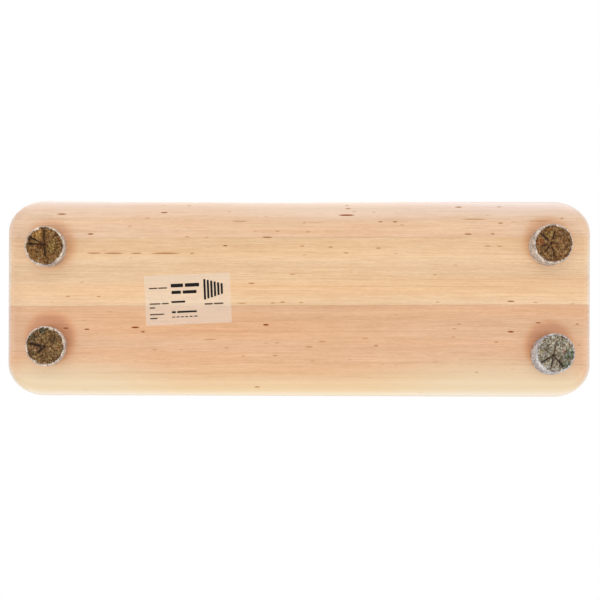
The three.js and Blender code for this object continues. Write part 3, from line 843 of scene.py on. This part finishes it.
class FeltFoot:
    """The shape of one felt foot, as rings of points round its screw."""

    STEPS = 288
    FACE_RINGS = 44
    RIM_RINGS = 6
    SIDE_RINGS = 12

    # The hole for the screw: the gap round it, how high its head's rim and cone reach over the
    # head's face, and how far the mouth of the hole lies below that face
    CLEARANCE = 0.15 * MM
    HEAD_RIM = 0.6 * MM
    HEAD_LENGTH = 3.2 * MM
    MOUTH_LENGTH = 2.4 * MM
    MOUTH_SHADE = 2.1 * MM  # how far from the mouth the face is dark

    DEEPEST = 4.2 * MM  # how far the face can be drawn in
    TOP_GAP = 0.02 * MM  # between the felt and the base

    # How far the side stands out beyond the plain disc, and how far it swells and is tufted
    STAND_OUT = 0.15 * MM
    SWELL = 0.45 * MM
    TUFT = 0.22 * MM

    def __init__(self, name, settings):
        self.settings = settings
        low, high = corners(f"felt_foot_{name}")
        screw_low, screw_high = corners(f"foot_screw_{name}")
        self.radius = (high.x - low.x) / 2
        self.height = high.z - low.z
        self.screw = (screw_low + screw_high) / 2
        self.head = screw_low.z
        self.head_radius = (screw_high.x - screw_low.x) / 2
        self.offset = (self.screw - (low + high) / 2).to_2d()
        self.slip = Vector(getattr(settings, f"slip_{name}"))
        self.creases = CREASES[name]
        self.seed = Vector((7.3, 3.1, 5.7)) * (1 + FOOT_NAMES.index(name))

    def noise(self, *place):
        """Noise from -1 to 1, other for each foot."""
        return noise.noise(Vector(place) + self.seed)

    def reach(self, angle, height):
        """From the screw's axis to the foot's edge."""
        way = Vector((math.cos(angle), math.sin(angle)))
        along = self.offset.dot(way)
        span = math.sqrt(along * along - self.offset.length_squared + self.radius ** 2) - along
        swell = self.noise(way.x * 2.4, way.y * 2.4, height / (9 * MM))
        tuft = self.noise(way.x * 17, way.y * 17, height / (1.1 * MM))
        return span + self.SWELL * swell + self.TUFT * tuft + self.STAND_OUT

    def crease(self, angle, radius):
        """How far a point of the face lies in a crease, from 0 to 1."""
        deepest = 0.0
        for degrees, start, end, near, far, depth in self.creases:
            gap = angle - math.radians(degrees) - 0.05 * self.noise(radius * 260, degrees, 0)
            forward = radius * math.cos(gap)
            if forward <= 0:
                continue
            place = (forward / MM - start) / (end - start)
            breadth = (near + (far - near) * min(max(place, 0), 1)) * MM
            breadth *= 1 + 0.5 * self.noise(radius * 900, degrees, 3)
            ends = smoothstep(-0.15, 0.25, place) * (1 - smoothstep(0.78, 1.1, place))
            across = radius * math.sin(gap) / breadth
            deepest = max(deepest, depth * ends * math.exp(-across * across))
        return deepest

    def face_height(self, angle, radius):
        """(height of the face over the floor, its share of a crease)."""
        settings = self.settings
        x, y = radius * math.cos(angle), radius * math.sin(angle)
        swell = self.noise(x * 160, y * 160, 0) * 0.7 + self.noise(x * 700, y * 700, 0) * 0.3
        drawn = 1 - smoothstep(settings.mouth_radius, settings.dimple_radius, radius)
        crease = self.crease(angle, radius)
        height = settings.unevenness * (0.6 + 0.6 * swell)
        height += settings.dimple_depth * drawn ** 1.4 + settings.crease_depth * crease
        return min(height, self.DEEPEST), crease

    def point(self, angle, radius, height, held=0.0):
        """A point of the foot. held is 1 where the screw keeps the felt from slipping."""
        slip = self.slip * (1 - height / self.height) * (1 - held)
        return (
            self.screw.x + radius * math.cos(angle) + slip.x,
            self.screw.y + radius * math.sin(angle) + slip.y,
            height,
        )

    def column(self, angle):
        """One cut from the screw's axis to the side: [(point, share of side, crease, share of
        painted shade round the hole)].
        """
        mouth, rim = self.settings.mouth_radius, self.settings.rim
        bore = self.head_radius / 2 + self.CLEARANCE
        pocket = self.head_radius + self.CLEARANCE
        top = self.height - self.TOP_GAP
        inside = (
            (bore, top),
            (bore, self.head + self.HEAD_LENGTH),
            (pocket, self.head + self.HEAD_RIM),
            (pocket, self.head - self.CLEARANCE),
            (mouth, self.head - self.MOUTH_LENGTH),
        )
        cut = [(self.point(angle, radius, height, 1), 0, 0, 1) for radius, height in inside]
        inner = mouth * (1 + 0.16 * self.noise(angle * 1.3, 0, 0))
        outer = self.reach(angle, 0) - rim
        for ring in range(self.FACE_RINGS + 1):
            share_out = ring / self.FACE_RINGS
            radius = inner + (outer - inner) * share_out
            edge_height, crease = self.face_height(angle, radius)
            # hole is the share of painted shade round the mouth of the hole.
            hole = 1 - smoothstep(inner, inner + self.MOUTH_SHADE, radius)
            held = (1 - share_out) ** 2
            side = 0.3 * smoothstep(outer - 2 * MM, outer, radius)
            cut.append((self.point(angle, radius, edge_height, held), side, crease, hole))
        for ring in range(1, self.RIM_RINGS + 1):
            share_up = ring / self.RIM_RINGS
            bow = share_up * math.pi / 2
            radius = outer + rim * math.sin(bow)
            height = edge_height * (1 - share_up) + rim * (1 - math.cos(bow))
            side = 0.3 + 0.7 * smoothstep(0, 0.5, share_up)
            cut.append((self.point(angle, radius, height), side, 0, 0))
        for ring in range(1, self.SIDE_RINGS + 1):
            height = rim + (top - rim) * ring / self.SIDE_RINGS
            cut.append((self.point(angle, self.reach(angle, height), height), 1, 0, 0))
        for share_out in (0.66, 0.33):
            radius = bore + (self.reach(angle, top) - bore) * share_out
            cut.append((self.point(angle, radius, top), 1, 0, 0))
        return cut

    def mesh(self, name):
        """The foot as a closed mesh, with its zones in a colour attribute; the crease and hole
        zones darken the felt as painted shade.
        """
        shape = bmesh.new()
        zone = shape.verts.layers.float_color.new("zone")
        columns = []
        for step in range(self.STEPS):
            column = []
            for point, side, crease, hole in self.column(step * 2 * math.pi / self.STEPS):
                vertex = shape.verts.new(point)
                vertex[zone] = (side, crease, hole, 1)
                column.append(vertex)
            columns.append(column)
        for here, there in zip(columns, columns[1:] + columns[:1]):
            for place in range(len(here)):
                shape.faces.new((here[place - 1], there[place - 1], there[place], here[place]))
        bmesh.ops.recalc_face_normals(shape, faces=shape.faces)
        return made_mesh(name, shape, smooth=True)

    def fibre_mesh(self, name):
        """Loose fibres round the side and the rim, as thin bent ribbons."""
        settings = self.settings
        rim = settings.rim
        chance = random.Random(name)
        shape = bmesh.new()
        for _ in range(settings.fibres):
            angle = chance.uniform(-math.pi, math.pi)
            height = self.height * (1 - 0.02 - 0.96 * math.sqrt(chance.random()))
            radius = self.reach(angle, height) - 0.1 * MM
            if height < rim:
                radius -= rim - math.sqrt(max(rim ** 2 - (rim - height) ** 2, 0))
            place = Vector(self.point(angle, radius, height))
            outward = Vector((math.cos(angle), math.sin(angle), 0))
            around = Vector((-outward.y, outward.x, 0))
            way = outward * chance.uniform(0.15, 0.5) + around * chance.uniform(-1, 1)
            way += Vector((0, 0, chance.uniform(-0.5, 0.7)))
            curl = outward * chance.uniform(-1.1, 0.1) + around * chance.uniform(-0.7, 0.7)
            reach = settings.fibre_length * chance.uniform(0.35, 1.0) / 3
            broad = way.cross(outward).normalized() * chance.uniform(0.025, 0.045) * MM
            pairs = []
            for step in range(4):
                half = broad * (1 - 0.25 * step)
                pairs.append((shape.verts.new(place - half), shape.verts.new(place + half)))
                place = place + way.normalized() * reach
                place.z = max(place.z, 0.1 * MM)
                way = way.normalized() + curl / 2
            for (left, right), (next_left, next_right) in zip(pairs, pairs[1:]):
                shape.faces.new((left, right, next_right, next_left))
        return made_mesh(name, shape, smooth=True)


def worn_face(sheet, face, fibres, specks, pick, clouds):
    """The dirty, worn face of a foot: dark and pale fibres in uneven patches."""
    halfway = tuple(0.65 * a + 0.35 * b for a, b in zip(face, fibres))
    worn = sheet.ramp(
        specks,
        (0.34, tinted(face, (0.2, 0.13, 0.06))), (0.43, tinted(face, (0.58, 0.47, 0.3))),
        (0.5, tinted(face, (0.98, 0.93, 0.82))), (0.57, halfway), (0.66, fibres),
    )
    mixture = sheet.ramp(
        pick,
        (0.0, (0.68, 0.65, 0.62)), (0.18, (1.04, 1.0, 0.92)), (0.4, (0.95, 1.02, 1.0)),
        (0.6, (1.12, 1.0, 0.88)), (0.75, (0.92, 0.93, 1.08)), (0.88, (1.2, 1.24, 1.35)),
        interpolation="CONSTANT",
    )
    uneven = sheet.ramp(
        clouds,
        (0.3, (0.5, 0.45, 0.42)), (0.45, (0.9, 0.89, 0.87)), (0.55, (1.0, 1.01, 0.99)),
        (0.7, (1.22, 1.18, 1.12)),
    )
    return sheet.stain(sheet.stain(worn, mixture), uneven)


def pale_side(sheet, side, specks, clouds, swirled):
    """The side of a foot: pale felt in layers, with painted shade that greys it away from the rim.
    """
    pale = sheet.tints(
        specks, side,
        (0.34, (0.22, 0.2, 0.2)), (0.44, (0.62, 0.61, 0.64)), (0.51, 1.0),
        (0.6, (1.14, 1.15, 1.19)),
    )
    pale = sheet.mix(sheet.span(clouds, 0.34, 0.56), tinted(side, (0.62, 0.6, 0.63)), pale)
    layers = sheet.noise(swirled, (110, 110, 700), 3.0, 0.7)
    layers = sheet.ramp(layers, (0.36, (0.6, 0.58, 0.62)), (0.48, 1.0), (0.62, 1.14))
    tufts = sheet.noise(swirled, (260, 260, 420), 2.0, 0.6)
    tufts = sheet.ramp(tufts, (0.36, (0.69, 0.67, 0.66)), (0.5, 1.0), (0.66, 1.15))
    pale = sheet.stain(sheet.stain(pale, layers), tufts)
    height = sheet.axes(sheet.place)["Z"]
    # Painted shade: the side greys towards the base, where the wood shades it.
    return sheet.stain(pale, (0.9, 0.88, 0.87), sheet.span(height, 1.5 * MM, 6 * MM))


def felt(name, face, fibres, side, screw, patches):
    """Pressed felt of mixed fibres, with a worn, dirty face, painted shade in its creases and round
    the screw hole, and a paler side.
    """
    sheet = Finish(name)
    zone = sheet.add("ShaderNodeAttribute", output="Color", attribute_name="zone")
    side_share, crease, hole = sheet.add("ShaderNodeSeparateColor", {0: zone}).node.outputs[:3]
    swirl = sheet.noise(sheet.place, 150, output="Color")
    swirled = sheet.vector("MULTIPLY_ADD", swirl, (4 * MM,) * 3, sheet.place)
    _, pick, second, _ = sheet.cells(swirled, (620, 480, 560))
    specks = sheet.noise(swirled, (600, 480, 540), 3.0, 0.85)
    hair = sheet.noise(swirled, (900, 2600, 1800), 2.0, 0.7)
    clouds = sheet.noise(sheet.place, 130, 3.0, 0.6)

    worn = worn_face(sheet, face, fibres, specks, pick, clouds)
    uneven = sheet.math("MULTIPLY_ADD", specks, 6 * MM, -3 * MM)
    for right, rear, radius, tint in patches:
        spot = (screw.x + right * MM, screw.y + rear * MM, 0.3 * MM)
        away = sheet.math("ADD", sheet.vector("DISTANCE", sheet.place, spot, output=1), uneven)
        worn = sheet.stain(worn, tint, sheet.span(away, radius * 1.25 * MM, radius * 0.65 * MM))
    edge = sheet.math("MULTIPLY_ADD", specks, 1.1, sheet.math("ADD", side_share, -1.05))
    edge = sheet.span(sheet.math("ADD", clouds, edge), 0.3, 0.62)
    blend = sheet.mix(edge, worn, pale_side(sheet, side, specks, clouds, swirled))
    frayed = sheet.math("MULTIPLY_ADD", specks, 1.3, -0.65)
    # Painted shade: the felt goes nearly black in the creases and round the screw hole.
    drawn = sheet.math("MAXIMUM", crease, sheet.math("MULTIPLY", hole, 0.8))
    crease_and_hole_shade = sheet.math("MULTIPLY_ADD", sheet.span(drawn, 0.05, 0.5), frayed, drawn)
    crease_and_hole_shade = sheet.span(crease_and_hole_shade, 0.08, 0.95, 0.0, 0.95)
    blend = sheet.mix(crease_and_hole_shade, blend, tinted(face, (0.1, 0.06, 0.05)))
    tufts = sheet.math("MULTIPLY_ADD", second, 0.5, hair)
    return sheet.show({
        "Base Color": sheet.stain(blend, sheet.ramp(hair, (0.25, 0.6), (0.5, 1.0), (0.75, 1.1))),
        "Roughness": sheet.span(hair, 0.2, 0.8, 0.86, 1.0),
        "Normal": sheet.bump(tufts, 0.25 * MM, 0.9),
        "Specular IOR Level": 0.2,
        "Sheen Weight": 0.06,
        "Sheen Roughness": 0.6,
    })


def fibre_wool(name, ground):
    """The loose fibres: pale wool with some darker hairs."""
    sheet = Finish(name)
    tone = sheet.noise(sheet.place, 420)
    return sheet.show({
        "Base Color": sheet.tints(tone, ground, (0.3, (0.45, 0.4, 0.36)), (0.48, 1.0), (0.7, 1.15)),
        "Roughness": sheet.span(tone, 0.3, 0.7, 0.8, 1.0),
        "Specular IOR Level": 0.2,
    })


def zinc_steel(name):
    """Zinc-plated steel with turning marks, for the screws, darkened as painted shade for the hole
    they sit in.
    """
    sheet = Finish(name)
    stain = sheet.noise(sheet.place, 700, 3.0, 0.6)
    marks = sheet.noise(sheet.place, (3200, 3200, 900), 1.0)
    return sheet.show({
        # Painted shade: both steel colours are dark, standing in for the shade deep in the screw
        # hole.
        "Base Color": sheet.mix(stain, linear("5C564C"), linear("A29C90")),
        "Roughness": sheet.span(stain, 0.3, 0.7, 0.28, 0.46),
        "Normal": sheet.bump(marks, 0.01 * MM),
        "Metallic": 1.0,
    })


class LOG_DRUM_OT_make_felt_feet(bpy.types.Operator):
    """Makes the four felt feet, with their dimples, creases and loose fibres"""

    bl_idname = "log_drum.make_felt_feet"
    bl_label = "Make the Felt Feet"

    def execute(self, context):
        settings = context.scene.log_drum.felt
        wool = fibre_wool("felt_fibres", settings.side)
        brown = (settings.pale_fibres, settings.side)
        grey = (settings.grey_fibres, settings.grey_side)
        for name in FOOT_NAMES:
            cad_piece(f"felt_foot_{name}")
            shape = FeltFoot(name, settings)
            fibres, side = grey if name == "rear_right" else brown
            face = getattr(settings, name)
            material = felt(f"felt_{name}", face, fibres, side, shape.screw, PATCHES[name])
            foot = new_piece(shape.mesh(f"foot_{name}"), material)
            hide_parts(f"felt_foot_{name}")
            new_piece(shape.fibre_mesh(f"foot_fibres_{name}"), wool)
        return {"FINISHED"}


class LOG_DRUM_OT_finish_screws(bpy.types.Operator):
    """Gives the four foot screws their zinc-plated steel"""

    bl_idname = "log_drum.finish_screws"
    bl_label = "Finish the Screws"

    def execute(self, context):
        steel = zinc_steel("zinc_steel")
        for name in FOOT_NAMES:
            dress(f"foot_screw_{name}", steel)
        return {"FINISHED"}


# --- Label --------------------------------------------------------------------------------

# Printed marks on the label, as blocks in millimetres from its middle, to the right and to
# the rear: (left, right, middle of the line, thickness).
BOLD_MARKS = (
    (-17, -4.5, -14.6, 3.6), (-2.5, 12, -14.6, 3.6), (-16.5, -7, -7.6, 3.2), (-5, 9, -7.6, 3.2),
)
PLAIN_MARKS = ((-17, -3, 2.2, 1.9), (-17, -13, 12.6, 1.9), (-11.5, 8.5, 12.6, 1.9))
SMALL_MARKS = (
    (-39.5, -31, -12.6, 1.3), (-30, -21, -12.6, 1.3), (-39.5, -28.5, 3.4, 1.3),
    (-27, -20, 3.4, 1.3), (-39.5, -34, 7.4, 1.3), (-39.5, -25, 14.2, 1.3), (-39.5, -32, 18.2, 1.3),
    (-17, -14, 17.6, 1.1), (-12.5, -9.5, 17.6, 1.1), (-8, -5, 17.6, 1.1), (-3.5, -0.5, 17.6, 1.1),
    (1, 4, 17.6, 1.1), (5.5, 9, 17.6, 1.1), (17, 25, 5.6, 1.5), (26.5, 36, 5.6, 1.5),
)
MARK_CORNER = 0.35  # radius of a mark's corners, for a thick one
MARK_CORNER_SHARE = 0.3  # the same for a thin one, as a share of its thickness
# A sign of six bars, one for each tongue, in millimetres.
BAR_HEIGHTS = (21, 19, 17, 15, 13, 11)
BAR_LEFT = 16.5
BAR_MIDDLE = -9.5
BAR_WIDTH = 2.1
BAR_PITCH = 3.5


def film(settings):
    """Thin clear film, a little clouded, that lets the wood show."""
    sheet = Finish("label_film")
    cloud = sheet.noise(sheet.place, 90, 3.0, 0.6)
    ripple = sheet.noise(sheet.place, 260)
    return sheet.show({
        "Base Color": sheet.mix(cloud, tinted(settings.film, (0.97, 0.96, 0.95)), settings.film),
        "Roughness": sheet.span(cloud, 0.3, 0.7, 0.34, 0.46),
        "Normal": sheet.bump(ripple, 0.03 * MM),
        "Specular IOR Level": 0.3,
        "Alpha": settings.cover,
    })


def printing_ink(name, ground):
    """Matt printing ink, worn thin in small spots."""
    sheet = Finish(name)
    wear = sheet.noise(sheet.place, 1500, 3.0, 0.6)
    return sheet.show({
        "Base Color": sheet.tints(wear, ground, (0.3, (2.5, 2.3, 2.1)), (0.4, 1.0)),
        "Roughness": sheet.span(wear, 0.3, 0.7, 0.6, 0.5),
        "Specular IOR Level": 0.15,
    })


def printed(marks, thickness):
    """Blocks of ink with rounded corners, in the label's own frame."""
    shape = bmesh.new()
    for left, right, middle, tall in marks:
        corner = min(MARK_CORNER, tall * MARK_CORNER_SHARE)
        reach = tall / 2 - corner
        outline = []
        for quarter in range(4):
            x = right - corner if quarter in (0, 3) else left + corner
            y = middle + (reach if quarter < 2 else -reach)
            for step in range(4):
                bow = (quarter + step / 3) * math.pi / 2
                outline.append((x + corner * math.cos(bow), y + corner * math.sin(bow)))
        low, high = (
            [shape.verts.new((x * MM, y * MM, height)) for x, y in outline]
            for height in (-thickness / 2, thickness / 2)
        )
        shape.faces.new(low[::-1])
        shape.faces.new(high)
        for place in range(len(outline)):
            shape.faces.new((low[place - 1], low[place], high[place], high[place - 1]))
    return shape


class LOG_DRUM_OT_finish_label(bpy.types.Operator):
    """Gives the label its film and prints generic marks on it"""

    bl_idname = "log_drum.finish_label"
    bl_label = "Finish the Label"

    def execute(self, context):
        settings = context.scene.log_drum.label
        dress("label", film(settings)).visible_shadow = False
        low, high = corners("label")
        middle = (low + high) / 2
        place = Matrix.Translation((middle.x, middle.y, low.z - settings.ink_height / 2))
        place @= Matrix.Rotation(settings.turned, 4, "Z")
        lefts = (BAR_LEFT + BAR_PITCH * step for step in range(len(BAR_HEIGHTS)))
        bars = tuple(
            (left, left + BAR_WIDTH, BAR_MIDDLE, height) for left, height in zip(lefts, BAR_HEIGHTS)
        )
        prints = (
            ("label_print_bold", BOLD_MARKS + bars, settings.ink),
            ("label_print_plain", PLAIN_MARKS, tinted(settings.ink, 1.8)),
            ("label_print_small", SMALL_MARKS, settings.faint_ink),
        )
        for name, marks, ink in prints:
            shape = printed(marks, settings.ink_height)
            shape.transform(place)
            new_piece(made_mesh(name, shape), printing_ink(name, ink))
        return {"FINISHED"}


# --- Stage --------------------------------------------------------------------------------

# Lamps, each as where it hangs, its width and height, and the setting that has its power. The
# low ones light the flat of the base. The tall ones light its rounded edges and the walls.
LAMPS = {
    "left": ((-1.3, 0, 0.4), (1.0, 1.4), "end_power"),
    "low left": ((-0.85, 0.15, -0.75), (0.7, 0.7), "low_end_power"),
    "right": ((1.3, 0, 0.4), (1.0, 1.4), "end_power"),
    "low right": ((0.85, 0.15, -0.75), (0.7, 0.7), "low_end_power"),
    "front": ((0, -1.3, 0.4), (2.0, 1.4), "front_power"),
    "rear": ((0, 1.3, 0.4), (2.0, 1.4), "rear_power"),
    "low front": ((0, -1.1, -0.9), (1.8, 0.6), "low_front_power"),
    "low rear": ((0, 0.85, -0.75), (1.6, 0.35), "low_rear_power"),
    "top": ((-0.3, -0.4, 1.9), (1.8, 1.8), "top_power"),
}
LAMP_AIM = Vector((0, 0, 0.05))
FLOOR_RADIUS = 2.0
FLOOR_FADE = (0.55, 1.9)  # where the floor starts to fade, and where it is gone
FLOOR_GAP = 0.1 * MM  # between the feet and the floor


def add_lamp(name, place, size, watts):
    """A square soft lamp that the camera doesn't see."""
    data = bpy.data.lights.new(name, "AREA")
    data.shape = "RECTANGLE"
    data.size, data.size_y = size
    data.energy = watts
    lamp = bpy.data.objects.new(name, data)
    lamp.location = place
    lamp.rotation_euler = (LAMP_AIM - Vector(place)).to_track_quat("-Z", "Y").to_euler()
    lamp.visible_camera = False
    bpy.context.scene.collection.objects.link(lamp)


def surroundings(level):
    """White to the eye and in reflections, and an even light of that level on the drum."""
    world = bpy.data.worlds.new("White surroundings")
    sheet = NodeSheet(cleared(world))
    rays = sheet.add("ShaderNodeLightPath").node.outputs
    seen = sheet.math("MAXIMUM", rays["Is Camera Ray"], rays["Is Glossy Ray"])
    seen = sheet.math("MAXIMUM", seen, rays["Is Transmission Ray"])
    strength = sheet.add("ShaderNodeMapRange", {0: seen, 3: level, 4: 1.0})
    light = sheet.add("ShaderNodeBackground", {"Color": (1, 1, 1, 1), "Strength": strength})
    sheet.close("ShaderNodeOutputWorld", light)
    return world


def floor_paint(ground):
    """Pale matt paint that fades out far from the drum and isn't seen from below."""
    material = bpy.data.materials.new("floor_paint")
    sheet = NodeSheet(cleared(material))
    place = sheet.add("ShaderNodeTexCoord", output="Object")
    speck = sheet.noise(place, 90, 3.0, 0.6)
    paint = sheet.mix(speck, tinted(ground, 0.985), ground)
    matt = sheet.add("ShaderNodeBsdfDiffuse", {"Color": paint, "Roughness": 0.8})
    clear = sheet.add("ShaderNodeBsdfTransparent")
    away = sheet.span(sheet.vector("LENGTH", place, output=1), *FLOOR_FADE)
    below = sheet.add("ShaderNodeNewGeometry", output="Backfacing")
    hidden = sheet.math("MAXIMUM", away, below)
    surface = sheet.add("ShaderNodeMixShader", {0: hidden, 1: matt, 2: clear})
    sheet.close("ShaderNodeOutputMaterial", surface)
    return material


class LOG_DRUM_OT_build_stage(bpy.types.Operator):
    """Builds the camera, the lamps, the floor and the white surroundings"""

    bl_idname = "log_drum.build_stage"
    bl_label = "Build the Stage"

    def execute(self, context):
        settings = context.scene.log_drum.studio
        scene = context.scene
        scene.view_settings.view_transform = "Standard"
        scene.world = surroundings(settings.daylight)

        data = bpy.data.cameras.new("Camera")
        data.sensor_width = 36
        data.lens = settings.lens
        camera = bpy.data.objects.new("Camera", data)
        height = BASE_UNDERSIDE - settings.distance
        camera.location = (settings.aim_right, settings.aim_rear, height)
        camera.rotation_euler = (math.pi, 0, -settings.roll)
        scene.collection.objects.link(camera)
        scene.camera = camera

        for name, (place, size, setting) in LAMPS.items():
            add_lamp(f"Lamp {name}", place, size, getattr(settings, setting))

        shape = bmesh.new()
        bmesh.ops.create_circle(shape, cap_ends=True, segments=96, radius=FLOOR_RADIUS)
        for face in shape.faces:
            if face.normal.z < 0:
                face.normal_flip()
        plane = made_mesh("Floor", shape)
        plane.materials.append(floor_paint(settings.floor))
        floor = bpy.data.objects.new("Floor", plane)
        floor.location = (0, 0, -FLOOR_GAP)
        for kind in ("diffuse", "glossy", "transmission", "shadow"):
            setattr(floor, f"visible_{kind}", False)
        scene.collection.objects.link(floor)
        return {"FINISHED"}


# --- Panel and start ----------------------------------------------------------------------


class LOG_DRUM_PT_sidebar(bpy.types.Panel):
    """Lists the steps and settings of the log drum"""

    bl_idname = "LOG_DRUM_PT_sidebar"
    bl_label = "Log Drum"
    bl_space_type = "VIEW_3D"
    bl_region_type = "UI"
    bl_category = "Log Drum"

    def draw(self, context):
        drum = context.scene.log_drum
        groups = (
            (drum.alder, (LOG_DRUM_OT_finish_alder,)),
            (drum.padauk, (LOG_DRUM_OT_finish_padauk,)),
            (drum.felt, (LOG_DRUM_OT_make_felt_feet, LOG_DRUM_OT_finish_screws)),
            (drum.label, (LOG_DRUM_OT_finish_label,)),
            (drum.studio, (LOG_DRUM_OT_build_stage,)),
        )
        for settings, operators in groups:
            box = self.layout.box()
            for operator in operators:
                box.operator(operator.bl_idname)
            for name in settings.__annotations__:
                box.prop(settings, name)


OPERATORS = (
    LOG_DRUM_OT_build_stage,
    LOG_DRUM_OT_finish_alder,
    LOG_DRUM_OT_finish_padauk,
    LOG_DRUM_OT_make_felt_feet,
    LOG_DRUM_OT_finish_screws,
    LOG_DRUM_OT_finish_label,
)
CLASSES = (
    AlderSettings,
    PadaukSettings,
    FeltSettings,
    LabelSettings,
    StudioSettings,
    DrumSettings,
    *OPERATORS,
    LOG_DRUM_PT_sidebar,
)


def register():
    for kind in CLASSES:
        bpy.utils.register_class(kind)
    bpy.types.Scene.log_drum = PointerProperty(type=DrumSettings)


def unregister():
    del bpy.types.Scene.log_drum
    for kind in reversed(CLASSES):
        bpy.utils.unregister_class(kind)


def main():
    """Builds everything in order."""
    register()
    bpy.ops.log_drum.build_stage()
    bpy.ops.log_drum.finish_alder()
    bpy.ops.log_drum.finish_padauk()
    bpy.ops.log_drum.make_felt_feet()
    bpy.ops.log_drum.finish_screws()
    bpy.ops.log_drum.finish_label()


if __name__ == "__main__":
    main()
